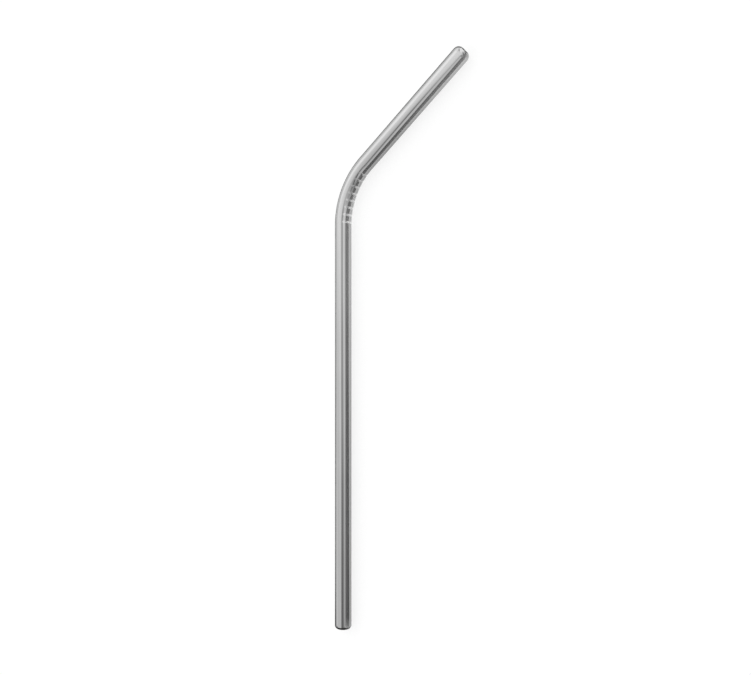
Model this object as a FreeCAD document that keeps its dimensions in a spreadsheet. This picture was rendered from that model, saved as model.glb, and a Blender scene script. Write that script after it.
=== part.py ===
import FreeCAD, Part

# Bent drinking straw, drawn from one length of thin stainless steel tube.
#
# The tube lies on its side, as it rests on a table. It has a long straight stem, one bend with a
# row of crimps pressed into its inner side, and a short straight arm. The sheet is turned in at
# both ends: a tight rolled lip on the stem, and a longer rounded nose on the drinking tip.
#
# Two bodies are swept along the same centre line. One is the outside of the tube. The other is
# the space inside it, whose crimps lie one sheet's thickness further in, and it is cut out of the
# first, so the sheet keeps its thickness round the crimps too. The turned-in ends are then added.
#
# The document's own frame has the bend's centre at its origin and the bend in the XY plane. The
# finished straw is placed with the middle of its outline over the origin, lying on z = 0.

import math
import os

import Sketcher
from FreeCAD import Vector

# The driving dimensions: alias, value in millimetres, degrees or a count, and what it measures.
SIZES = [
    ("tube_diameter", 6.0, "outside diameter of the tube"),
    ("sheet_thickness", 0.5, "thickness of the tube's wall"),
    ("stem_length", 144.4, "straight stem, from its rolled lip to the bend"),
    ("bend_radius", 28.0, "bend, measured to the centre line"),
    ("bend_angle", 50.0, "how far the arm turns away from the stem"),
    ("arm_length", 48.5, "straight arm, from the bend to the rounded nose"),
    ("lip_radius", 1.1, "outside radius of the rolled lip on the stem"),
    ("lip_mouth", 4.2, "diameter of the mouth in the rolled lip"),
    ("nose_radius", 2.5, "outside radius of the rounded nose on the drinking tip"),
    ("nose_mouth", 3.4, "diameter of the mouth in the rounded nose"),
    ("rim_round", 0.15, "polished-off outer edge of each mouth"),
    ("crimped_side", 103.0, "angle of the tube's circle that the crimps are pressed into"),
    ("crimp_count", 8, "crimps in the row"),
    ("crimp_first", 2.0, "angle from the stem's end of the bend to the first crimp"),
    ("crimp_pitch", 5.8, "angle from one crimp to the next"),
    ("crimp_depth", 0.25, "depth of a crimp where it is deepest"),
    ("crimp_round", 0.48, "radius of the crimp's floor, and of each shoulder"),
    ("crimp_lift", 0.02, "how far outside the tube the shoulders begin"),
    ("crimp_offset", 1.1, "how far behind the centre line the ring that cuts a crimp is centred"),
]

# Each crimp is cut by a ring round a line of its own. Worked out from the driving dimensions: how
# far that line lies from the bend's centre, how far the inner side of the tube lies from it, and
# how far the centre of the crimp's floor does.
RING_LINE = "(sizes.bend_radius + sizes.crimp_offset)"
INNER_SIDE = "sizes.tube_diameter / 2 + sizes.crimp_offset"
FLOOR_CENTRE = f"{INNER_SIDE} - sizes.crimp_depth + sizes.crimp_round"

# Sketcher's numbers for a line's or arc's points, and for the sketch's own origin and axes.
START = 1
END = 2
CENTRE = 3
ORIGIN = (-1, 1)
ACROSS = -1

doc = FreeCAD.newDocument("bent_straw")
sizes = doc.addObject("Spreadsheet::Sheet", "sizes")


def fill_in_sizes():
    """Writes the driving dimensions, one to a row: alias, value, meaning."""
    for row, (alias, value, meaning) in enumerate(SIZES, start=1):
        sizes.set(f"A{row}", alias)
        sizes.set(f"B{row}", str(value))
        sizes.set(f"C{row}", meaning)
        sizes.setAlias(f"B{row}", alias)
    doc.recompute()


def origin_feature(body, role):
    """The origin plane or axis of a body that has this role."""
    for feature in body.Origin.OriginFeatures:
        if feature.Role == role:
            return feature
    raise LookupError(role)


def new_sketch(body, name, plane, place):
    """An empty sketch on an origin plane of its body.

    Place binds the sketch's own origin and turn on that plane to the driving dimensions."""
    sketch = body.newObject("Sketcher::SketchObject", name)
    sketch.AttachmentSupport = [(origin_feature(body, plane), "")]
    sketch.MapMode = "FlatFace"
    for key, expression in place.items():
        sketch.setExpression(f".AttachmentOffset.{key}", expression)
    return sketch


def relate(sketch, kind, *elements):
    """Adds one geometric constraint."""
    sketch.addConstraint(Sketcher.Constraint(kind, *elements))


def dimension(sketch, kind, elements, expression):
    """Adds one dimension at its expression's value and binds it to that expression."""
    value = sketch.evalExpression(expression)
    index = sketch.addConstraint(Sketcher.Constraint(kind, *elements, value))
    sketch.setExpression(f"Constraints[{index}]", expression)


def draw_path(body):
    """The centre line: the stem, the bend about the origin, and the arm that leaves it."""
    radius = sizes.bend_radius
    turn = math.radians(sizes.bend_angle)
    bend_start = Vector(-radius, 0, 0)
    bend_end = Vector(-radius * math.cos(turn), radius * math.sin(turn), 0)
    stem_end = bend_start - Vector(0, sizes.stem_length, 0)
    arm_end = bend_end + Vector(math.sin(turn), math.cos(turn), 0) * sizes.arm_length
    circle = Part.Circle(Vector(0, 0, 0), Vector(0, 0, 1), radius)

    sketch = new_sketch(body, f"{body.Name}_path", "XY_Plane", {})
    stem = sketch.addGeometry(Part.LineSegment(stem_end, bend_start))
    bend = sketch.addGeometry(Part.ArcOfCircle(circle, math.pi - turn, math.pi))
    arm = sketch.addGeometry(Part.LineSegment(bend_end, arm_end))
    relate(sketch, "Coincident", bend, CENTRE, *ORIGIN)
    relate(sketch, "PointOnObject", bend, END, ACROSS)
    relate(sketch, "Tangent", stem, END, bend, END)
    relate(sketch, "Tangent", bend, START, arm, START)
    dimension(sketch, "Radius", (bend,), "sizes.bend_radius")
    dimension(sketch, "Angle", (bend,), "sizes.bend_angle * 1 deg")
    dimension(sketch, "Distance", (stem,), "sizes.stem_length")
    dimension(sketch, "Distance", (arm,), "sizes.arm_length")
    return sketch


def draw_section(body, diameter):
    """The tube's round section, where the stem meets its rolled lip.

    It is drawn as two arcs, so the side that the crimps are pressed into is a face of its own."""
    place = {"Base.x": "-sizes.bend_radius", "Base.z": "sizes.stem_length"}
    sketch = new_sketch(body, f"{body.Name}_section", "XZ_Plane", place)
    circle = Part.Circle(Vector(0, 0, 0), Vector(0, 0, 1), sizes.tube_diameter / 2)
    half = math.radians(sizes.crimped_side) / 2
    inner = sketch.addGeometry(Part.ArcOfCircle(circle, -half, half))
    outer = sketch.addGeometry(Part.ArcOfCircle(circle, half, 2 * math.pi - half))
    relate(sketch, "Coincident", inner, CENTRE, *ORIGIN)
    relate(sketch, "Coincident", inner, END, outer, START)
    relate(sketch, "Coincident", outer, END, inner, START)
    relate(sketch, "Equal", inner, outer)
    relate(sketch, "Symmetric", inner, START, inner, END, ACROSS)
    dimension(sketch, "Diameter", (inner,), diameter)
    dimension(sketch, "Angle", (inner,), "sizes.crimped_side * 1 deg")
    return sketch


def sweep_tube(body, diameter):
    """The round section carried along the stem, the bend and the arm."""
    pipe = body.newObject("PartDesign::AdditivePipe", f"{body.Name}_tube")
    pipe.Profile = draw_section(body, diameter)
    pipe.Spine = (draw_path(body), [])
    body.Tip = pipe
    doc.recompute()


# The sketch of the first crimp's ring. Its Y axis is the ring's line and its X axis points away
# from the bend's centre.
FIRST_CRIMP = {
    "Base.x": f"-{RING_LINE} * cos(sizes.crimp_first * 1 deg)",
    "Base.y": f"{RING_LINE} * sin(sizes.crimp_first * 1 deg)",
    "Rotation.Angle": "180 - sizes.crimp_first",
}


def draw_crimp_outside(body):
    """The ring's section outside: the crimp's round floor runs up into two round shoulders.

    The section is drawn on the far side of the ring's line, where the ring is clear of the tube,
    so the ring's own seam isn't in the crimp. The shoulders begin a little outside the tube."""
    sketch = new_sketch(body, f"{body.Name}_crimp_section", "XY_Plane", FIRST_CRIMP)
    radius = sizes.crimp_round
    inner_side = sizes.tube_diameter / 2 + sizes.crimp_offset
    brim = inner_side + sizes.crimp_lift
    lean = math.acos(1 - (sizes.crimp_depth + sizes.crimp_lift) / (2 * radius))
    reach = 2 * radius * math.sin(lean)
    up = Vector(0, 0, 1)
    floor_circle = Part.Circle(Vector(inner_side - sizes.crimp_depth + radius, 0, 0), up, radius)
    far_circle = Part.Circle(Vector(brim - radius, reach, 0), up, radius)
    near_circle = Part.Circle(Vector(brim - radius, -reach, 0), up, radius)

    floor = sketch.addGeometry(Part.ArcOfCircle(floor_circle, math.pi - lean, math.pi + lean))
    far = sketch.addGeometry(Part.ArcOfCircle(far_circle, -lean, 0))
    near = sketch.addGeometry(Part.ArcOfCircle(near_circle, 0, lean))
    lid = sketch.addGeometry(Part.LineSegment(Vector(brim, reach, 0), Vector(brim, -reach, 0)))
    relate(sketch, "Tangent", floor, START, far, START)
    relate(sketch, "Tangent", floor, END, near, END)
    relate(sketch, "Tangent", far, END, lid, START)
    relate(sketch, "Tangent", near, START, lid, END)
    relate(sketch, "Equal", floor, far)
    relate(sketch, "Equal", floor, near)
    relate(sketch, "PointOnObject", floor, CENTRE, ACROSS)
    relate(sketch, "Vertical", lid)
    dimension(sketch, "Radius", (floor,), "sizes.crimp_round")
    dimension(sketch, "DistanceX", (*ORIGIN, floor, CENTRE), FLOOR_CENTRE)
    dimension(sketch, "DistanceX", (*ORIGIN, lid, START), f"{INNER_SIDE} + sizes.crimp_lift")
    return sketch


def draw_crimp_inside(body):
    """The ring's section in the bore: a round ridge, one sheet's thickness from the floor."""
    sketch = new_sketch(body, f"{body.Name}_crimp_section", "XY_Plane", FIRST_CRIMP)
    inner_side = sizes.tube_diameter / 2 + sizes.crimp_offset
    centre = Vector(inner_side - sizes.crimp_depth + sizes.crimp_round, 0, 0)
    radius = sizes.crimp_round + sizes.sheet_thickness
    ridge = sketch.addGeometry(Part.Circle(centre, Vector(0, 0, 1), radius))
    relate(sketch, "PointOnObject", ridge, CENTRE, ACROSS)
    dimension(sketch, "DistanceX", (*ORIGIN, ridge, CENTRE), FLOOR_CENTRE)
    dimension(sketch, "Radius", (ridge,), "sizes.crimp_round + sizes.sheet_thickness")
    return sketch


def press_crimps(body, section):
    """Turns the section into a ring, cuts the first crimp with it and repeats it in the bend."""
    uncrimped = body.Shape.Volume
    crimp = body.newObject("PartDesign::Groove", f"{body.Name}_crimp")
    crimp.Profile = section
    crimp.ReferenceAxis = (section, ["V_Axis"])
    crimp.Angle = 360
    body.Tip = crimp
    doc.recompute()
    one_crimp = uncrimped - body.Shape.Volume
    if one_crimp <= 0:
        raise RuntimeError("the crimp misses the tube")

    row = body.newObject("PartDesign::PolarPattern", f"{body.Name}_crimp_row")
    row.Originals = [crimp]
    row.Axis = (origin_feature(body, "Z_Axis"), [""])
    row.Reversed = True
    row.setExpression("Angle", "(sizes.crimp_count - 1) * sizes.crimp_pitch")
    row.setExpression("Occurrences", "sizes.crimp_count")
    body.Tip = row
    doc.recompute()
    whole_row = uncrimped - body.Shape.Volume
    if abs(whole_row / one_crimp - sizes.crimp_count) > 0.1:
        raise RuntimeError("the row of crimps isn't whole")


# Where each end's sketch has its origin and its Y axis, which points out along the tube.
STEM_END = {
    "Base.x": "-sizes.bend_radius",
    "Base.y": "-sizes.stem_length",
    "Rotation.Angle": "180",
}
TIP_END = {
    "Base.x": "sizes.arm_length * sin(sizes.bend_angle * 1 deg)"
    " - sizes.bend_radius * cos(sizes.bend_angle * 1 deg)",
    "Base.y": "sizes.arm_length * cos(sizes.bend_angle * 1 deg)"
    " + sizes.bend_radius * sin(sizes.bend_angle * 1 deg)",
    "Rotation.Angle": "-sizes.bend_angle",
}


def draw_turned_in_sheet(body, name, place, turn, mouth):
    """The sheet's section at one end, turned in round a centre until it meets the mouth.

    Turn and mouth are the aliases of the outside radius and of the mouth's diameter. The mouth's
    outer edge is polished off round. Its inner edge, inside the tube, stays as cut."""
    outside = sizes.tube_diameter / 2
    bore = outside - sizes.sheet_thickness
    outer_radius = getattr(sizes, turn)
    inner_radius = outer_radius - sizes.sheet_thickness
    rim = getattr(sizes, mouth) / 2
    round_radius = sizes.rim_round
    centre = Vector(outside - outer_radius, 0, 0)
    inset = rim + round_radius - centre.x
    outer_height = math.sqrt((outer_radius - round_radius) ** 2 - inset ** 2)
    outer_end = math.atan2(outer_height, inset)
    inner_end = math.acos((rim - centre.x) / inner_radius)
    up = Vector(0, 0, 1)
    outer_circle = Part.Circle(centre, up, outer_radius)
    rim_circle = Part.Circle(centre + Vector(inset, outer_height, 0), up, round_radius)
    inner_arc = Part.ArcOfCircle(Part.Circle(centre, up, inner_radius), 0, inner_end)
    edge_start = Vector(rim, outer_height, 0)

    sketch = new_sketch(body, name, "XY_Plane", place)
    outer = sketch.addGeometry(Part.ArcOfCircle(outer_circle, 0, outer_end))
    polished = sketch.addGeometry(Part.ArcOfCircle(rim_circle, outer_end, math.pi))
    edge = sketch.addGeometry(Part.LineSegment(edge_start, inner_arc.EndPoint))
    inner = sketch.addGeometry(inner_arc)
    joint = sketch.addGeometry(Part.LineSegment(Vector(bore, 0, 0), Vector(outside, 0, 0)))
    relate(sketch, "Coincident", outer, CENTRE, inner, CENTRE)
    relate(sketch, "PointOnObject", outer, CENTRE, ACROSS)
    relate(sketch, "PointOnObject", outer, START, ACROSS)
    relate(sketch, "Coincident", outer, START, joint, END)
    relate(sketch, "PointOnObject", inner, START, ACROSS)
    relate(sketch, "Coincident", inner, START, joint, START)
    relate(sketch, "Tangent", outer, END, polished, START)
    relate(sketch, "Tangent", polished, END, edge, START)
    relate(sketch, "Coincident", edge, END, inner, END)
    relate(sketch, "Vertical", edge)
    dimension(sketch, "DistanceX", (*ORIGIN, outer, START), "sizes.tube_diameter / 2")
    dimension(sketch, "Radius", (outer,), f"sizes.{turn}")
    dimension(sketch, "Radius", (inner,), f"sizes.{turn} - sizes.sheet_thickness")
    dimension(sketch, "Radius", (polished,), "sizes.rim_round")
    dimension(sketch, "DistanceX", (*ORIGIN, edge, START), f"sizes.{mouth} / 2")
    return sketch


def turn_in_end(body, name, place, turn, mouth):
    """Adds one turned-in end."""
    section = draw_turned_in_sheet(body, f"{name}_section", place, turn, mouth)
    end = body.newObject("PartDesign::Revolution", name)
    end.Profile = section
    end.ReferenceAxis = (section, ["V_Axis"])
    end.Angle = 360
    body.Tip = end
    doc.recompute()


def build_outside():
    """The outside of the tube with its crimps, as a solid bar."""
    body = doc.addObject("PartDesign::Body", "outside")
    sweep_tube(body, "sizes.tube_diameter")
    press_crimps(body, draw_crimp_outside(body))
    return body


def build_inside():
    """The space inside the tube, with the crimps as they show in the bore."""
    body = doc.addObject("PartDesign::Body", "inside")
    sweep_tube(body, "sizes.tube_diameter - 2 * sizes.sheet_thickness")
    press_crimps(body, draw_crimp_inside(body))
    return body


def build_straw():
    """The straw: the outside less the inside, with the sheet turned in at both ends."""
    body = build_outside()
    inside = build_inside()
    hollow = body.newObject("PartDesign::Boolean", "hollow")
    hollow.setObjects([inside])
    hollow.Type = "Cut"
    body.Tip = hollow
    doc.recompute()
    turn_in_end(body, "lip", STEM_END, "lip_radius", "lip_mouth")
    turn_in_end(body, "nose", TIP_END, "nose_radius", "nose_mouth")
    body.Label = "straw_tube"
    return body


def lay_down(body):
    """Lies the straw on the ground, with the middle of its outline over the origin."""
    box = body.Shape.optimalBoundingBox()
    shift = Vector(-box.Center.x, -box.Center.y, -box.ZMin)
    body.Placement = FreeCAD.Placement(shift, FreeCAD.Rotation())
    doc.recompute()


def check_document(parts):
    """Stops if any object failed or any part isn't one valid solid."""
    for item in doc.Objects:
        if "Invalid" in item.State or "Error" in item.State:
            raise RuntimeError(f"{item.Name} failed: {item.State}")
    for part in parts:
        shape = part.Shape
        if shape.isNull() or not shape.isValid() or len(shape.Solids) != 1:
            raise RuntimeError(f"{part.Label} isn't one valid solid")


def write_parts(parts):
    """Writes each part to its own STEP file, named by its label."""
    os.makedirs("parts", exist_ok=True)
    for part in parts:
        part.Shape.exportStep(os.path.join("parts", f"{part.Label}.step"))


fill_in_sizes()
straw = build_straw()
lay_down(straw)
check_document([straw])
write_parts([straw])
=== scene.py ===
import math

import bpy
from mathutils import Matrix, Vector


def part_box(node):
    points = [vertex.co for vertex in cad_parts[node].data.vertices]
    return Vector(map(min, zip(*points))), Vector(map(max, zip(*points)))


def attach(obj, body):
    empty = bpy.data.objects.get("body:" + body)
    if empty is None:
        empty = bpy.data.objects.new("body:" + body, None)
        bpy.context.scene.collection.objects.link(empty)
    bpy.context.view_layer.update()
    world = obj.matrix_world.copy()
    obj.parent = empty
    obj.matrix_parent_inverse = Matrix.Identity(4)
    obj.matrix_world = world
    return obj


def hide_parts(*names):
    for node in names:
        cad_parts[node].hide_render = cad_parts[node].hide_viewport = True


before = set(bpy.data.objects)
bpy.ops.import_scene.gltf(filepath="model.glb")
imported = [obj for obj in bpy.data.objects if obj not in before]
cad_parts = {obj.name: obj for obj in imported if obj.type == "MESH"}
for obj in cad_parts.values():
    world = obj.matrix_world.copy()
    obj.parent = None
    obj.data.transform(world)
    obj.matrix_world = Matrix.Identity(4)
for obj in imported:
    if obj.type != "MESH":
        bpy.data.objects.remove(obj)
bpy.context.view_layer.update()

# ---------------------------------------------------------------------------------------------
# The straw: one length of 6 mm stainless steel tube with a 0.5 mm wall. Its sheet is turned in at
# both ends and polished, eight crimps are pressed into the inner side, and the tube is bent there.
# ---------------------------------------------------------------------------------------------

MM = 0.001
TUBE_RADIUS = 3.0 * MM
WALL = 0.5 * MM
STEM = 144.4 * MM
BEND_RADIUS = 28.0 * MM
BEND_ANGLE = math.radians(50.0)
BEND = BEND_RADIUS * BEND_ANGLE
ARM = 48.5 * MM
TUBE = STEM + BEND + ARM
LIP_TURN = 1.1 * MM
LIP_MOUTH = 2.1 * MM
NOSE_TURN = 2.5 * MM
NOSE_MOUTH = 1.7 * MM
MOUTH_POLISH = 0.15 * MM
MOUTH_BURR = 0.03 * MM

# Steps along the long walls, and round the parts of a turned end, from its outside to its bore.
STEM_STEPS = 24
ARM_STEPS = 10
OUTSIDE_BEND_STEPS = 260
BORE_BEND_STEPS = 130
TURN_STEPS = 22
POLISH_STEPS = 8
BURR_STEPS = 4
INNER_TURN_STEPS = 16
SAME_POINT = 1e-7


def turned_end(turn, mouth):
    """The sheet's section past one end, as (reach, radius) points from the outside to the bore.

    It turns in round a centre until it meets the mouth. The mouth's outer edge is polished round
    and its inner edge keeps a trace of burr. Returns the points and how many lie outside."""
    centre = TUBE_RADIUS - turn
    inner_turn = turn - WALL
    outer_inset = mouth + MOUTH_POLISH - centre
    inner_inset = mouth + MOUTH_BURR - centre
    outer_height = math.sqrt((turn - MOUTH_POLISH) ** 2 - outer_inset ** 2)
    inner_height = math.sqrt((inner_turn + MOUTH_BURR) ** 2 - inner_inset ** 2)
    outer_end = math.atan2(outer_height, outer_inset)
    inner_end = math.atan2(inner_height, inner_inset)
    arcs = [
        (0.0, centre, turn, 0.0, outer_end, TURN_STEPS),
        (outer_height, mouth + MOUTH_POLISH, MOUTH_POLISH, outer_end, math.pi, POLISH_STEPS),
        (inner_height, mouth + MOUTH_BURR, MOUTH_BURR, math.pi, math.pi + inner_end, BURR_STEPS),
        (0.0, centre, inner_turn, inner_end, 0.0, INNER_TURN_STEPS),
    ]
    points = []
    for reach, radius, size, start, end, steps in arcs:
        for step in range(steps + 1):
            angle = start + (end - start) * step / steps
            point = (reach + size * math.sin(angle), radius + size * math.cos(angle))
            if not points or math.dist(point, points[-1]) > SAME_POINT:
                points.append(point)
    return points[1:-1], TURN_STEPS + POLISH_STEPS


def stations(bend_steps):
    """Distances along the tube where its long walls have points, closest together in the bend."""
    stem = [STEM * step / STEM_STEPS for step in range(STEM_STEPS)]
    bend = [STEM + BEND * step / bend_steps for step in range(bend_steps)]
    arm = [STEM + BEND + ARM * step / ARM_STEPS for step in range(ARM_STEPS + 1)]
    return stem + bend + arm


lip, lip_outside = turned_end(LIP_TURN, LIP_MOUTH)
nose, nose_outside = turned_end(NOSE_TURN, NOSE_MOUTH)

# The sheet's closed section, drawn straight: along the outside, round the nose, back along the
# bore and round the lip. A point is (distance along the tube, radius, 1 if it is in the bore).
section = [(along, TUBE_RADIUS, 0.0) for along in stations(OUTSIDE_BEND_STEPS)]
section += [(TUBE + reach, radius, float(number >= nose_outside))
            for number, (reach, radius) in enumerate(nose)]
section += [(along, TUBE_RADIUS - WALL, 1.0) for along in reversed(stations(BORE_BEND_STEPS))]
rim = [(-reach, radius, float(number >= lip_outside))
       for number, (reach, radius) in enumerate(lip)]
section += reversed(rim)

sheet = bpy.data.meshes.new("straw_steel_tube")
section_edges = [(index, (index + 1) % len(section)) for index in range(len(section))]
sheet.from_pydata([(along, radius, 0.0) for along, radius, _ in section], section_edges, [])
sheet.attributes.new("in_bore", "FLOAT", "POINT").data.foreach_set(
    "value", [in_bore for _, _, in_bore in section])
straw = bpy.data.objects.new("straw_steel_tube", sheet)
bpy.context.scene.collection.objects.link(straw)


def plug(tree, source, socket):
    """Feeds a socket from another socket, or sets its own value."""
    if isinstance(source, bpy.types.NodeSocket):
        tree.links.new(source, socket)
    else:
        socket.default_value = source


def add_node(tree, kind, settings=None, **sources):
    """Adds a node and feeds its inputs by name, with _ for a space in a name."""
    node = tree.nodes.new(kind)
    for name, value in (settings or {}).items():
        setattr(node, name, value)
    for name, source in sources.items():
        plug(tree, source, node.inputs[name.replace("_", " ")])
    return node


def calc(tree, operation, *terms):
    """Adds a Math node and returns its value."""
    node = tree.nodes.new("ShaderNodeMath")
    node.operation = operation
    for term, socket in zip(terms, node.inputs):
        plug(tree, term, socket)
    return node.outputs[0]


def calc_vector(tree, operation, *terms):
    """Adds a Vector Math node and returns its vector."""
    node = tree.nodes.new("ShaderNodeVectorMath")
    node.operation = operation
    for term, socket in zip(terms, node.inputs):
        plug(tree, term, socket)
    return node.outputs["Vector"]


def smooth_step(tree, value, none_at, full_at):
    """0 where the value is none_at, and smoothly up to 1 where it is full_at."""
    return add_node(tree, "ShaderNodeMapRange", {"interpolation_type": "SMOOTHSTEP"}, Value=value,
                    From_Min=none_at, From_Max=full_at).outputs["Result"]


def choose(tree, which, value_if_not, value_if_so):
    """One of two values, by a yes or no."""
    return add_node(tree, "GeometryNodeSwitch", {"input_type": "FLOAT"}, Switch=which,
                    **{"False": value_if_not, "True": value_if_so}).outputs["Output"]


def keep(tree, geometry, kind, value):
    """Keeps a value on a curve's points, for use once the curve has been swept."""
    node = tree.nodes.new("GeometryNodeCaptureAttribute")
    node.capture_items.new(kind, "Kept")
    tree.links.new(geometry, node.inputs["Geometry"])
    tree.links.new(value, node.inputs["Kept"])
    return node.outputs["Geometry"], node.outputs["Kept"]


def rise_of_round(tree, size, distance):
    """How far a round of this radius rises at a distance from its lowest point."""
    square = calc(tree, "SUBTRACT",
                  calc(tree, "POWER", size, 2.0), calc(tree, "POWER", distance, 2.0))
    return calc(tree, "SUBTRACT", size, calc(tree, "SQRT", calc(tree, "MAXIMUM", square, 0.0)))


# Any small ring will do for the sweep, because its points are moved to their places afterwards.
SWEEP_RING = 1.0 * MM
# The painted highlight along each crimp, a bright line standing in for the light the crimp catches,
# fades from its core to its edge, in crimp rounds off the crimp's lowest line, and along the crimp
# to its ends, by the cosine of the turn from the tube's inner side. Each later crimp gets less.
LINE_EDGE, LINE_CORE = 0.95, 0.45
LINE_ENDS, LINE_FULL = 0.40, 0.60
LESS_PER_CRIMP = 0.10


def form_straw_tree():
    """The nodes that turn the section round the centre line, bend it and press the crimps."""
    tree = bpy.data.node_groups.new("form_straw", "GeometryNodeTree")
    tree.is_modifier = True
    tree.interface.new_socket("Geometry", in_out="INPUT", socket_type="NodeSocketGeometry")
    for name in ("Stem Length", "Bend Radius", "Bend Angle", "Tube Radius", "Wall",
                 "First Crimp", "Crimp Pitch", "Crimp Depth", "Crimp Round", "Crimp Lift",
                 "Crimp Softness", "Ring Offset"):
        tree.interface.new_socket(name, in_out="INPUT", socket_type="NodeSocketFloat")
    tree.interface.new_socket("Bend Centre", in_out="INPUT", socket_type="NodeSocketVector")
    for name in ("Points Around", "Crimp Count"):
        tree.interface.new_socket(name, in_out="INPUT", socket_type="NodeSocketInt")
    for name in ("Outside Finish", "Bore Finish"):
        tree.interface.new_socket(name, in_out="INPUT", socket_type="NodeSocketMaterial")
    tree.interface.new_socket("Geometry", in_out="OUTPUT", socket_type="NodeSocketGeometry")
    given = tree.nodes.new("NodeGroupInput").outputs

    # Sweep the closed section round a small ring, only to get the faces and each point's turn.
    place = tree.nodes.new("GeometryNodeInputPosition").outputs["Position"]
    drawn = add_node(tree, "GeometryNodeMeshToCurve", Mesh=given["Geometry"]).outputs["Curve"]
    drawn, place = keep(tree, drawn, "VECTOR", place)
    turn = tree.nodes.new("GeometryNodeSplineParameter").outputs["Factor"]
    ring = add_node(tree, "GeometryNodeCurvePrimitiveCircle", Resolution=given["Points Around"],
                    Radius=SWEEP_RING).outputs["Curve"]
    ring, turn = keep(tree, ring, "FLOAT", turn)
    swept = add_node(tree, "GeometryNodeCurveToMesh", Curve=drawn,
                     Profile_Curve=ring).outputs["Mesh"]
    swept = add_node(tree, "GeometryNodeFlipFaces", Mesh=swept).outputs["Mesh"]
    flat = add_node(tree, "ShaderNodeSeparateXYZ", Vector=place).outputs
    along = flat["X"]
    radius = flat["Y"]
    angle = calc(tree, "MULTIPLY", turn, 2 * math.pi)
    inward = calc(tree, "COSINE", angle)
    sideways = calc(tree, "SINE", angle)

    # The distance along the tube to the nearest crimp.
    past_stem = calc(tree, "SUBTRACT", along, given["Stem Length"])
    bent_by = calc(tree, "DIVIDE", past_stem, given["Bend Radius"])
    past_first = calc(tree, "SUBTRACT", bent_by, given["First Crimp"])
    last = calc(tree, "SUBTRACT", given["Crimp Count"], 1.0)
    number = calc(tree, "ROUND", calc(tree, "DIVIDE", past_first, given["Crimp Pitch"]))
    number = calc(tree, "MINIMUM", calc(tree, "MAXIMUM", number, 0.0), last)
    off_by = calc(tree, "SUBTRACT", past_first,
                  calc(tree, "MULTIPLY", number, given["Crimp Pitch"]))
    to_centre = calc(tree, "SUBTRACT", given["Bend Radius"],
                     calc(tree, "MULTIPLY", radius, inward))
    gap = calc(tree, "ABSOLUTE", calc(tree, "MULTIPLY", off_by, to_centre))

    # Outside, a crimp's round floor runs up into two round shoulders.
    full = calc(tree, "ADD", given["Crimp Depth"], given["Crimp Lift"])
    both_rounds = calc(tree, "MULTIPLY", given["Crimp Round"], 2.0)
    lean = calc(tree, "ARCCOSINE",
                calc(tree, "SUBTRACT", 1.0, calc(tree, "DIVIDE", full, both_rounds)))
    half_reach = calc(tree, "MULTIPLY", given["Crimp Round"], calc(tree, "SINE", lean))
    reach = calc(tree, "MULTIPLY", half_reach, 2.0)
    near = calc(tree, "MINIMUM", gap, reach)
    from_foot = calc(tree, "MINIMUM", near, calc(tree, "SUBTRACT", reach, near))
    floor_rise = rise_of_round(tree, given["Crimp Round"], from_foot)
    shoulder_rise = calc(tree, "SUBTRACT", full, floor_rise)
    on_shoulder = calc(tree, "GREATER_THAN", near, half_reach)
    outside_rise = choose(tree, on_shoulder, floor_rise, shoulder_rise)

    # In the bore, a crimp is one round ridge.
    ridge_round = calc(tree, "ADD", given["Crimp Round"], given["Wall"])
    ridge_rise = rise_of_round(tree, ridge_round, calc(tree, "MINIMUM", gap, ridge_round))
    bore_rise = calc(tree, "SUBTRACT", ridge_rise, given["Wall"])

    # The ring that presses a crimp is centred behind the centre line, so it meets one side only.
    in_bore = add_node(tree, "GeometryNodeInputNamedAttribute", Name="in_bore").outputs["Attribute"]
    in_bore = calc(tree, "GREATER_THAN", in_bore, 0.5)
    rise = choose(tree, in_bore, outside_rise, bore_rise)
    floor_at = calc(tree, "SUBTRACT", calc(tree, "ADD", given["Tube Radius"], given["Ring Offset"]),
                    given["Crimp Depth"])
    ring_radius = calc(tree, "ADD", floor_at, rise)
    across = calc(tree, "MULTIPLY", given["Ring Offset"], sideways)
    behind = calc(tree, "MULTIPLY", given["Ring Offset"], inward)
    span = calc(tree, "SQRT", calc(tree, "SUBTRACT", calc(tree, "POWER", ring_radius, 2.0),
                                   calc(tree, "POWER", across, 2.0)))
    pressed_radius = calc(tree, "SUBTRACT", span, behind)
    pressed_radius = calc(tree, "SMOOTH_MIN", radius, pressed_radius, given["Crimp Softness"])

    # A painted highlight: a bright line painted along each crimp's floor, on the side the ring
    # meets.
    off_line = calc(tree, "DIVIDE", gap, given["Crimp Round"])
    in_line = smooth_step(tree, off_line, LINE_EDGE, LINE_CORE)
    met = smooth_step(tree, inward, LINE_ENDS, LINE_FULL)
    less_later = calc(tree, "SUBTRACT", 1.0, calc(tree, "MULTIPLY", number, LESS_PER_CRIMP))
    crimp_highlight_and_satin = calc(tree, "MULTIPLY", calc(tree, "MULTIPLY", in_line, met), less_later)

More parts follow.
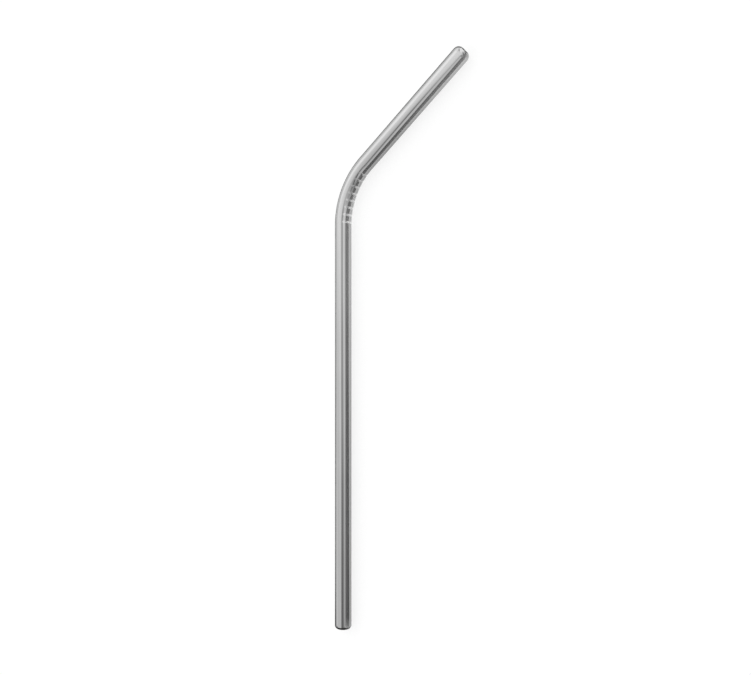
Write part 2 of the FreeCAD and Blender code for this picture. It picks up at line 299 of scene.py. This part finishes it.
    # Lay the section along the stem, the bend and the arm.
    bent_by = calc(tree, "MINIMUM", calc(tree, "MAXIMUM", bent_by, 0.0), given["Bend Angle"])
    straight = calc(tree, "SUBTRACT", past_stem,
                    calc(tree, "MULTIPLY", bent_by, given["Bend Radius"]))
    cosine = calc(tree, "COSINE", bent_by)
    sine = calc(tree, "SINE", bent_by)
    inward_span = calc(tree, "MULTIPLY", pressed_radius, inward)
    sideways_span = calc(tree, "MULTIPLY", pressed_radius, sideways)
    off_centre = calc(tree, "SUBTRACT", inward_span, given["Bend Radius"])
    x = calc(tree, "MULTIPLY_ADD", off_centre, cosine, calc(tree, "MULTIPLY", straight, sine))
    y = calc(tree, "SUBTRACT", calc(tree, "MULTIPLY", straight, cosine),
             calc(tree, "MULTIPLY", off_centre, sine))
    laid = add_node(tree, "ShaderNodeCombineXYZ", X=x, Y=y, Z=sideways_span).outputs["Vector"]
    laid = calc_vector(tree, "ADD", laid, given["Bend Centre"])
    tube = add_node(tree, "GeometryNodeSetPosition", Geometry=swept, Position=laid)

    # The finishes need each point's place in the tube while it was straight, and how much painted
    # highlight and satin it has along the crimps.
    straight_place = add_node(tree, "ShaderNodeCombineXYZ", X=inward_span, Y=along,
                              Z=sideways_span).outputs["Vector"]
    tube = add_node(tree, "GeometryNodeStoreNamedAttribute", {"data_type": "FLOAT_VECTOR"},
                    Geometry=tube.outputs["Geometry"], Name="tube_place", Value=straight_place)
    tube = add_node(tree, "GeometryNodeStoreNamedAttribute", {"data_type": "FLOAT"},
                    # Kept on the points: where the steel gets its painted highlight and satin along
                    # the crimps.
                    Geometry=tube.outputs["Geometry"], Name="crimp_highlight_and_satin", Value=crimp_highlight_and_satin)
    tube = add_node(tree, "GeometryNodeSetShadeSmooth", Geometry=tube.outputs["Geometry"])
    tube = add_node(tree, "GeometryNodeRealizeInstances", Geometry=tube.outputs["Geometry"])
    tube = add_node(tree, "GeometryNodeSetMaterial", Geometry=tube.outputs["Geometry"],
                    Material=given["Outside Finish"])
    tube = add_node(tree, "GeometryNodeSetMaterial", Geometry=tube.outputs["Geometry"],
                    Selection=in_bore, Material=given["Bore Finish"])
    out = tree.nodes.new("NodeGroupOutput")
    tree.links.new(tube.outputs["Geometry"], out.inputs["Geometry"])
    return tree


def draw_lines_group():
    """Marks of the die that the tube was drawn through, and of the polishing after it."""
    group = bpy.data.node_groups.new("draw_lines", "ShaderNodeTree")
    group.interface.new_socket("Tube Place", in_out="INPUT", socket_type="NodeSocketVector")
    for name in ("Line Width", "Line Length", "Cloud Size"):
        group.interface.new_socket(name, in_out="INPUT", socket_type="NodeSocketFloat")
    for name in ("Lines", "Clouds"):
        group.interface.new_socket(name, in_out="OUTPUT", socket_type="NodeSocketFloat")
    given = group.nodes.new("NodeGroupInput").outputs
    wide = calc(group, "DIVIDE", 1.0, given["Line Width"])
    long = calc(group, "DIVIDE", 1.0, given["Line Length"])
    scale = add_node(group, "ShaderNodeCombineXYZ", X=wide, Y=long, Z=wide).outputs["Vector"]
    fine = calc_vector(group, "MULTIPLY", given["Tube Place"], scale)
    lines = add_node(group, "ShaderNodeTexNoise", Vector=fine, Scale=1.0, Detail=3.0, Roughness=0.6)
    clouds = add_node(group, "ShaderNodeTexNoise", Vector=given["Tube Place"], Detail=2.0,
                      Scale=calc(group, "DIVIDE", 1.0, given["Cloud Size"]))
    out = group.nodes.new("NodeGroupOutput")
    group.links.new(lines.outputs["Fac"], out.inputs["Lines"])
    group.links.new(clouds.outputs["Fac"], out.inputs["Clouds"])
    return group


def kept_value(tree, name):
    """The outputs that read a value kept on a mesh's points."""
    return add_node(tree, "ShaderNodeAttribute", {"attribute_name": name}).outputs


def grey(tone):
    """A grey colour of this tone."""
    return (tone, tone, tone, 1.0)


def mix_colours(tree, amount, first, second):
    """Mixes two colours. A Mix node's sockets for colours are inputs 6 and 7 and output 2."""
    node = add_node(tree, "ShaderNodeMix", {"data_type": "RGBA"})
    for source, socket in ((amount, 0), (first, 6), (second, 7)):
        plug(tree, source, node.inputs[socket])
    return node.outputs[2]


# The polish is cloudy at this size. Draw lines and clouds share the steel's tone between them, and
# it goes from smooth to rough between two tones. The lines are this deep.
CLOUD_SIZE = 12 * MM
LINES_SHARE, CLOUDS_SHARE = 0.7, 0.3
SMOOTH_TONE, ROUGH_TONE = 0.3, 0.7
LINE_DEPTH = 0.004 * MM
# Along the crimps the steel is satin and brighter, and the brighter colour is a painted highlight.
PAINTED_HIGHLIGHT_COLOUR = grey(0.96)
CRIMP_SATIN_ROUGHNESS = 0.45


def steel(name, lines_group, light, dark, smooth, rough, line_width, line_length, bump):
    """Drawn stainless steel between two tones and two roughnesses, painted highlight and satin on
    crimps.
    """
    material = bpy.data.materials.new(name)
    material.use_nodes = True
    tree = material.node_tree
    shader = tree.nodes["Principled BSDF"]
    place = kept_value(tree, "tube_place")["Vector"]
    crimp_highlight_and_satin = kept_value(tree, "crimp_highlight_and_satin")["Fac"]
    marks = add_node(tree, "ShaderNodeGroup", {"node_tree": lines_group}, Tube_Place=place,
                     Line_Width=line_width, Line_Length=line_length, Cloud_Size=CLOUD_SIZE).outputs
    tone = calc(tree, "MULTIPLY_ADD", marks["Lines"], LINES_SHARE,
                calc(tree, "MULTIPLY", marks["Clouds"], CLOUDS_SHARE))
    drawn_colour = mix_colours(tree, tone, dark, light)
    # A painted highlight: along the crimps a near-white colour is mixed into the steel's own.
    tree.links.new(mix_colours(tree, crimp_highlight_and_satin, drawn_colour, PAINTED_HIGHLIGHT_COLOUR),
                   shader.inputs["Base Color"])
    fog = add_node(tree, "ShaderNodeMapRange", Value=tone, From_Min=SMOOTH_TONE,
                   From_Max=ROUGH_TONE, To_Min=smooth, To_Max=rough).outputs["Result"]
    # Along the crimps the steel is satin.
    satin = add_node(tree, "ShaderNodeMix", {"data_type": "FLOAT"}, Factor=crimp_highlight_and_satin, A=fog,
                     B=CRIMP_SATIN_ROUGHNESS)
    tree.links.new(satin.outputs[0], shader.inputs["Roughness"])
    relief = add_node(tree, "ShaderNodeBump", Strength=bump, Distance=LINE_DEPTH,
                      Height=marks["Lines"])
    tree.links.new(relief.outputs["Normal"], shader.inputs["Normal"])
    shader.inputs["Metallic"].default_value = 1.0
    return material


draw_lines = draw_lines_group()
outside_steel = steel("polished_steel", draw_lines, light=grey(0.70), dark=grey(0.51), smooth=0.06,
                      rough=0.14, line_width=0.40 * MM, line_length=60 * MM, bump=0.25)
bore_steel = steel("bore_steel", draw_lines, light=(0.50, 0.49, 0.48, 1.0),
                   dark=(0.36, 0.35, 0.34, 1.0), smooth=0.28, rough=0.42,
                   line_width=0.22 * MM, line_length=18 * MM, bump=0.6)

low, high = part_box("straw_tube")
lip_reach = max(reach for reach, _ in lip)
bend_centre = Vector((low[0] + TUBE_RADIUS + BEND_RADIUS, low[1] + lip_reach + STEM,
                      low[2] + TUBE_RADIUS))
sizes = {
    "Stem Length": STEM,
    "Bend Radius": BEND_RADIUS,
    "Bend Angle": BEND_ANGLE,
    "Bend Centre": bend_centre,
    "Tube Radius": TUBE_RADIUS,
    "Wall": WALL,
    "Points Around": 128,
    "Crimp Count": 8,
    "First Crimp": math.radians(2.0),
    "Crimp Pitch": math.radians(5.8),
    "Crimp Depth": 0.25 * MM,
    "Crimp Round": 0.48 * MM,
    "Crimp Lift": 0.02 * MM,
    "Crimp Softness": 0.04 * MM,
    "Ring Offset": 1.1 * MM,
    "Outside Finish": outside_steel,
    "Bore Finish": bore_steel,
}
former = form_straw_tree()
modifier = straw.modifiers.new("form_straw", "NODES")
modifier.node_group = former
for socket in former.interface.items_tree:
    if socket.in_out == "INPUT" and socket.name in sizes:
        modifier[socket.identifier] = sizes[socket.name]
as_formed = straw.evaluated_get(bpy.context.evaluated_depsgraph_get())
formed = bpy.data.meshes.new_from_object(as_formed)
straw.modifiers.remove(modifier)
straw.data = formed

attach(straw, "root")
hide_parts("straw_tube")

# ---------------------------------------------------------------------------------------------
# The floor: a matt white table top, 3 m across and painted. It shows white round the straw, in
# the steel too, and keeps the straw's shadow.
# ---------------------------------------------------------------------------------------------

HALF_TABLE = 1.5
TABLE_PAINT = grey(0.3)
# How much whiter than its paint the table top shows to the camera, in mirrors and through glass.
LIFT = 0.78

corners = [(-1, -1), (1, -1), (1, 1), (-1, 1)]
table = bpy.data.meshes.new("white_table")
table.from_pydata([(x * HALF_TABLE, y * HALF_TABLE, 0.0) for x, y in corners], [], [(0, 1, 2, 3)])
floor = bpy.data.objects.new("white_table", table)
bpy.context.scene.collection.objects.link(floor)

white = bpy.data.materials.new("white_table")
white.use_nodes = True
tree = white.node_tree
tree.nodes.remove(tree.nodes["Principled BSDF"])
paint = add_node(tree, "ShaderNodeBsdfDiffuse", Color=TABLE_PAINT)
path = tree.nodes.new("ShaderNodeLightPath").outputs
shown = calc(tree, "ADD", calc(tree, "ADD", path["Is Camera Ray"], path["Is Glossy Ray"]),
             path["Is Transmission Ray"])
glow = add_node(tree, "ShaderNodeEmission", Strength=calc(tree, "MULTIPLY", shown, LIFT))
both = tree.nodes.new("ShaderNodeAddShader")
tree.links.new(paint.outputs["BSDF"], both.inputs[0])
tree.links.new(glow.outputs["Emission"], both.inputs[1])
tree.links.new(both.outputs["Shader"], tree.nodes["Material Output"].inputs["Surface"])
table.materials.append(white)

# ---------------------------------------------------------------------------------------------
# Card round the straw, out of the camera's sight, that gives polished steel its dark and bright
# lines, as in a studio. It is grey, black and white: a low tray, a card past the foot, a thin
# sheet hung over the stem, and small sheets over the tip and in front of it, two of them lit.
# ---------------------------------------------------------------------------------------------

CARD_ROUGHNESS = 0.9
CARD_SMOOTHING = 3


def beside(along, aside, height=0.0):
    """The place at a distance along the straw, to its inner side and up from the floor."""
    turned = min(max((along - STEM) / BEND_RADIUS, 0.0), BEND_ANGLE)
    way = Vector((math.sin(turned), math.cos(turned), 0.0))
    side = Vector((math.cos(turned), -math.sin(turned), 0.0))
    foot = bend_centre - side * BEND_RADIUS + way * (along - STEM - turned * BEND_RADIUS)
    return Vector((foot.x, foot.y, height)) + side * aside


def card_object(name, rows, tones, material):
    """A piece of card that only mirrors see, from rows of points, its grey kept on them."""
    wide = len(rows[0])
    faces = [(i * wide + j, i * wide + j + 1, (i + 1) * wide + j + 1, (i + 1) * wide + j)
             for i in range(len(rows) - 1) for j in range(wide - 1)]
    mesh = bpy.data.meshes.new(name)
    mesh.from_pydata([point for row in rows for point in row], [], faces)
    mesh.attributes.new("tone", "FLOAT", "POINT").data.foreach_set(
        "value", [tone for row in tones for tone in row])
    mesh.materials.append(material)
    card = bpy.data.objects.new(name, mesh)
    bpy.context.scene.collection.objects.link(card)
    bend = card.modifiers.new("smooth", "SUBSURF")
    bend.levels = CARD_SMOOTHING
    bend.render_levels = CARD_SMOOTHING
    bend.boundary_smooth = "PRESERVE_CORNERS"
    card.visible_camera = False
    card.visible_shadow = False
    card.visible_diffuse = False


wall_card = bpy.data.materials.new("wall_card")
wall_card.use_nodes = True
tree = wall_card.node_tree
tone = kept_value(tree, "tone")["Fac"]
colour = add_node(tree, "ShaderNodeCombineColor", Red=tone, Green=tone, Blue=tone).outputs["Color"]
tree.links.new(colour, tree.nodes["Principled BSDF"].inputs["Base Color"])
tree.nodes["Principled BSDF"].inputs["Roughness"].default_value = CARD_ROUGHNESS

# The tray's wall, from past the tip down the inner side, round the foot, where one corner is
# white, and up the outer side: along the straw, aside from it and the wall's height there, in
# millimetres, then its tone at the bottom and at the top.
WALL_COURSE = [
    (242, 13, 6.5, 0.50, 0.40), (228, 12, 6.5, 0.55, 0.45), (205, 11, 6.5, 0.70, 0.34),
    (178, 11, 6.5, 0.62, 0.18), (166, 10, 6.3, 0.45, 0.18), (157, 10, 6.3, 0.50, 0.32),
    (145, 10.5, 6.4, 0.65, 0.62), (128, 11, 6.5, 0.60, 0.60), (80, 9.5, 6.6, 0.35, 0.35),
    (20, 7.5, 6.7, 0.36, 0.36), (-1.2, 7, 6.8, 0.30, 0.30), (-1.7, 7, 7, 1.00, 1.00),
    (-2.3, 7, 7, 1.00, 1.00), (-4.5, 6, 6.6, 0.40, 0.40), (-8, 3, 6.5, 0.20, 0.20),
    (-8, -3, 6.5, 0.15, 0.12), (-2, -7, 6.5, 0.22, 0.20), (20, -9, 6, 0.54, 0.50),
    (80, -9, 6, 0.54, 0.54), (125, -9, 5.5, 0.75, 0.75), (150, -9, 5, 0.85, 0.85),
    (163, -9, 5, 0.80, 0.80), (176, -9, 5.5, 0.72, 0.72), (205, -9, 5.5, 0.62, 0.62),
    (230, -9, 5.5, 0.35, 0.75),
]
card_object("tray_wall",
            [[beside(along * MM, aside * MM), beside(along * MM, aside * MM, height * MM)]
             for along, aside, height, _, _ in WALL_COURSE],
            [[bottom, top] for _, _, _, bottom, top in WALL_COURSE], wall_card)

# The foot card stands across the straw, just past its lip, and is black but for its bottom. Its
# place along the straw and to each side of it, then its (height, tone), all in millimetres.
FOOT_CARD_ALONG = -2.4
FOOT_CARD_ASIDES = (-7, 0, 7)
FOOT_CARD_TONES = [(0, 0.50), (3, 0.35), (5, 0.08), (9.8, 0.03)]
card_object("foot_card",
            [[beside(FOOT_CARD_ALONG * MM, aside * MM, height * MM)
              for height, _ in FOOT_CARD_TONES] for aside in FOOT_CARD_ASIDES],
            [[tone for _, tone in FOOT_CARD_TONES] for _ in FOOT_CARD_ASIDES], wall_card)


def thin_card(name, face, shade):
    """Card with this face that covers more or less of what is behind it, as its tone says."""
    material = bpy.data.materials.new(name)
    material.use_nodes = True
    tree = material.node_tree
    tree.nodes.remove(tree.nodes["Principled BSDF"])
    tone = kept_value(tree, "tone")["Fac"]
    front = add_node(tree, face, Color=grey(shade))
    clear = tree.nodes.new("ShaderNodeBsdfTransparent")
    both = add_node(tree, "ShaderNodeMixShader", Fac=tone)
    tree.links.new(clear.outputs["BSDF"], both.inputs[1])
    tree.links.new(front.outputs[0], both.inputs[2])
    tree.links.new(both.outputs["Shader"], tree.nodes["Material Output"].inputs["Surface"])
    return material


def thin_sheet(name, course, across, height, material):
    """A level sheet that follows the straw. The course gives (along, cover) and across gives
    (aside, share of the cover), with the distances in millimetres."""
    card_object(name,
                [[beside(along * MM, aside * MM, height) for aside, _ in across]
                 for along, _ in course],
                [[cover * share for _, share in across] for _, cover in course], material)


TRAY_HEIGHT = 0.05 * MM
ON_TRAY_HEIGHT = 0.1 * MM
HANGING_HEIGHT = 60 * MM

# The tray's bottom lies to the inner side of the straw, thinnest where the arm begins and ends.
thin_sheet("tray_bottom",
           [(-8, 0.62), (20, 0.6), (80, 0.56), (125, 0.42), (140, 0.38), (157, 0.5), (168, 0.72),
            (182, 0.72), (203, 0.5), (212, 0.4), (219, 0.35), (224, 0.9), (245, 1.0), (262, 1.0)],
           [(0.5, 0.0), (3.2, 1.0), (6.5, 0.95), (11, 0.65), (22, 0.65)],
           TRAY_HEIGHT, thin_card("grey_card", "ShaderNodeBsdfDiffuse", 0.50))

# The hanging sheet darkens the lower half of the stem only, and thins out upwards.
thin_sheet("hanging_card",
           [(-90, 0.7), (0, 0.7), (35, 0.62), (73, 0.42), (100, 0.2), (125, 0.0)],
           [(6, 0.0), (16, 0.9), (28, 1.0), (44, 0.7), (60, 0.0)],
           HANGING_HEIGHT, thin_card("black_card", "ShaderNodeBsdfDiffuse", 0.04))

# A small glowing sheet lights the tip from above, and one on the table lights it from in front.
glowing_card = thin_card("glowing_card", "ShaderNodeEmission", 1.05)
thin_sheet("tip_light",
           [(180, 0.0), (192, 0.35), (203, 0.7), (214, 0.95), (250, 0.95), (270, 0.5)],
           [(-30, 0.0), (-18, 1.0), (10, 1.0), (38, 1.0), (52, 0.0)], HANGING_HEIGHT, glowing_card)
thin_sheet("tip_front_light",
           [(230, 0.0), (236, 1.0), (262, 1.0)],
           [(-30, 1.0), (-5, 1.0), (-1, 0.0)], ON_TRAY_HEIGHT, glowing_card)

# A dark card lies in front of the tip to the inner side.
thin_sheet("tip_front_card",
           [(223, 0.0), (230, 0.5), (236, 1.0), (262, 1.0)],
           [(0.5, 0.0), (5, 1.0), (22, 1.0)],
           ON_TRAY_HEIGHT, thin_card("dark_card", "ShaderNodeBsdfDiffuse", 0.05))

# ---------------------------------------------------------------------------------------------
# The light: soft white strip lights, hung parallel to the stem in a pale grey room. The room's
# wall is white from the table top up to a skirting line a little above it.
# ---------------------------------------------------------------------------------------------

ROOM = 0.17
SKIRTING_TOP, SKIRTING_FULL = 0.24, 0.13

strip = bpy.data.node_groups.new("strip_light", "ShaderNodeTree")
for name in ("Height Angle", "Lengthwise", "From Angle", "To Angle", "Angle Softness",
             "From Length", "To Length", "Length Softness", "Brightness"):
    strip.interface.new_socket(name, in_out="INPUT", socket_type="NodeSocketFloat")
strip.interface.new_socket("Light", in_out="OUTPUT", socket_type="NodeSocketFloat")
given = strip.nodes.new("NodeGroupInput").outputs


def soft_edge(upper, lower, softness):
    """0 to 1 as one value passes another, half of the softness on each side."""
    return smooth_step(strip, calc(strip, "SUBTRACT", upper, lower),
                       calc(strip, "MULTIPLY", softness, -0.5),
                       calc(strip, "MULTIPLY", softness, 0.5))


light = given["Brightness"]
for edge in (soft_edge(given["Height Angle"], given["From Angle"], given["Angle Softness"]),
             soft_edge(given["To Angle"], given["Height Angle"], given["Angle Softness"]),
             soft_edge(given["Lengthwise"], given["From Length"], given["Length Softness"]),
             soft_edge(given["To Length"], given["Lengthwise"], given["Length Softness"])):
    light = calc(strip, "MULTIPLY", light, edge)
out = strip.nodes.new("NodeGroupOutput")
strip.links.new(light, out.inputs["Light"])

# Each light's name, then from and to as angles up from the right over the stem, in degrees, and as
# reach along the stem, from -1 at its foot's side to 1 at its head's side, each with its softness.
# Then the brightness. A reach of 2 or -2 goes past the end.
strips = [
    ("overhead", 81, 155, 16, -2.0, 2.0, 0.3, 0.57),
    ("overhead, head end", 104, 142, 21, 0.04, 2.0, 0.45, 0.37),
    ("overhead, past the bend", 112, 152, 20, 0.17, 0.68, 0.2, 0.18),
    ("left side", 148, 200, 24, -2.0, 2.0, 0.4, 0.38),
    ("right side", 24, 48, 14, -0.35, 2.0, 0.7, 0.62),
    ("right side, upper", 43, 64, 12, -0.07, 2.0, 0.29, 0.38),
    ("right side, middle", 50, 78, 14, -0.43, -0.05, 0.16, 0.38),
    ("right side, foot end", 38, 70, 10, -0.95, -0.58, 0.1, 0.58),
    ("wide fill", 44, 107, 2.1, -0.12, 2.0, 0.6, 0.26),
    ("past the head", -20, 58, 24, 0.3, 2.0, 0.25, 0.30),
    ("past the head, low", -20, 26, 22, 0.55, 2.0, 0.2, 0.80),
    ("past the foot, low", 2, 34, 14, -0.75, -0.35, 0.2, 0.20),
]
world = bpy.data.worlds.new("studio")
world.use_nodes = True
bpy.context.scene.world = world
tree = world.node_tree
sky = tree.nodes["Background"]
way = add_node(tree, "ShaderNodeSeparateXYZ",
               Vector=tree.nodes.new("ShaderNodeTexCoord").outputs["Generated"]).outputs
height_angle = calc(tree, "MULTIPLY", calc(tree, "ARCTAN2", way["Z"], way["X"]), 180 / math.pi)
light = ROOM
for name, from_angle, to_angle, soft_angle, from_length, to_length, soft_length, bright in strips:
    lamp = add_node(tree, "ShaderNodeGroup", {"node_tree": strip, "label": name},
                    Height_Angle=height_angle, Lengthwise=way["Y"],
                    From_Angle=from_angle, To_Angle=to_angle, Angle_Softness=soft_angle,
                    From_Length=from_length, To_Length=to_length, Length_Softness=soft_length,
                    Brightness=bright)
    light = calc(tree, "ADD", light, lamp.outputs["Light"])
skirting = smooth_step(tree, way["Z"], SKIRTING_TOP, SKIRTING_FULL)
tree.links.new(calc(tree, "MAXIMUM", light, skirting), sky.inputs["Strength"])
sky.inputs["Color"].default_value = grey(1.0)

# ---------------------------------------------------------------------------------------------
# The camera: it stands 290 mm away, about 57 degrees up from the floor, and is turned so that the
# stem is upright in its view. Its place is given from the stem's foot.
# ---------------------------------------------------------------------------------------------

UP_FROM_FLOOR = math.radians(57.09)
AWAY = 290 * MM
RIGHT_OF_FOOT = 11.66 * MM
ABOVE_FOOT = 105.01 * MM
SENSOR_WIDTH = 36.0
FOCAL_LENGTH = 38.45
NEAREST = 0.01

lens = bpy.data.cameras.new("camera")
camera = bpy.data.objects.new("camera", lens)
bpy.context.scene.collection.objects.link(camera)
back = Vector((math.cos(UP_FROM_FLOOR), 0.0, math.sin(UP_FROM_FLOOR)))
right = Vector((math.sin(UP_FROM_FLOOR), 0.0, -math.cos(UP_FROM_FLOOR)))
up = Vector((0.0, 1.0, 0.0))
stem_foot = Vector((bend_centre.x - BEND_RADIUS, bend_centre.y - STEM - LIP_TURN, TUBE_RADIUS))
place = stem_foot + RIGHT_OF_FOOT * right + ABOVE_FOOT * up + AWAY * back
turn = Matrix((right, up, back)).transposed().to_4x4()
camera.matrix_world = Matrix.Translation(place) @ turn
lens.sensor_width = SENSOR_WIDTH
lens.lens = FOCAL_LENGTH
lens.clip_start = NEAREST
bpy.context.scene.camera = camera

bpy.context.scene.view_settings.view_transform = "Standard"
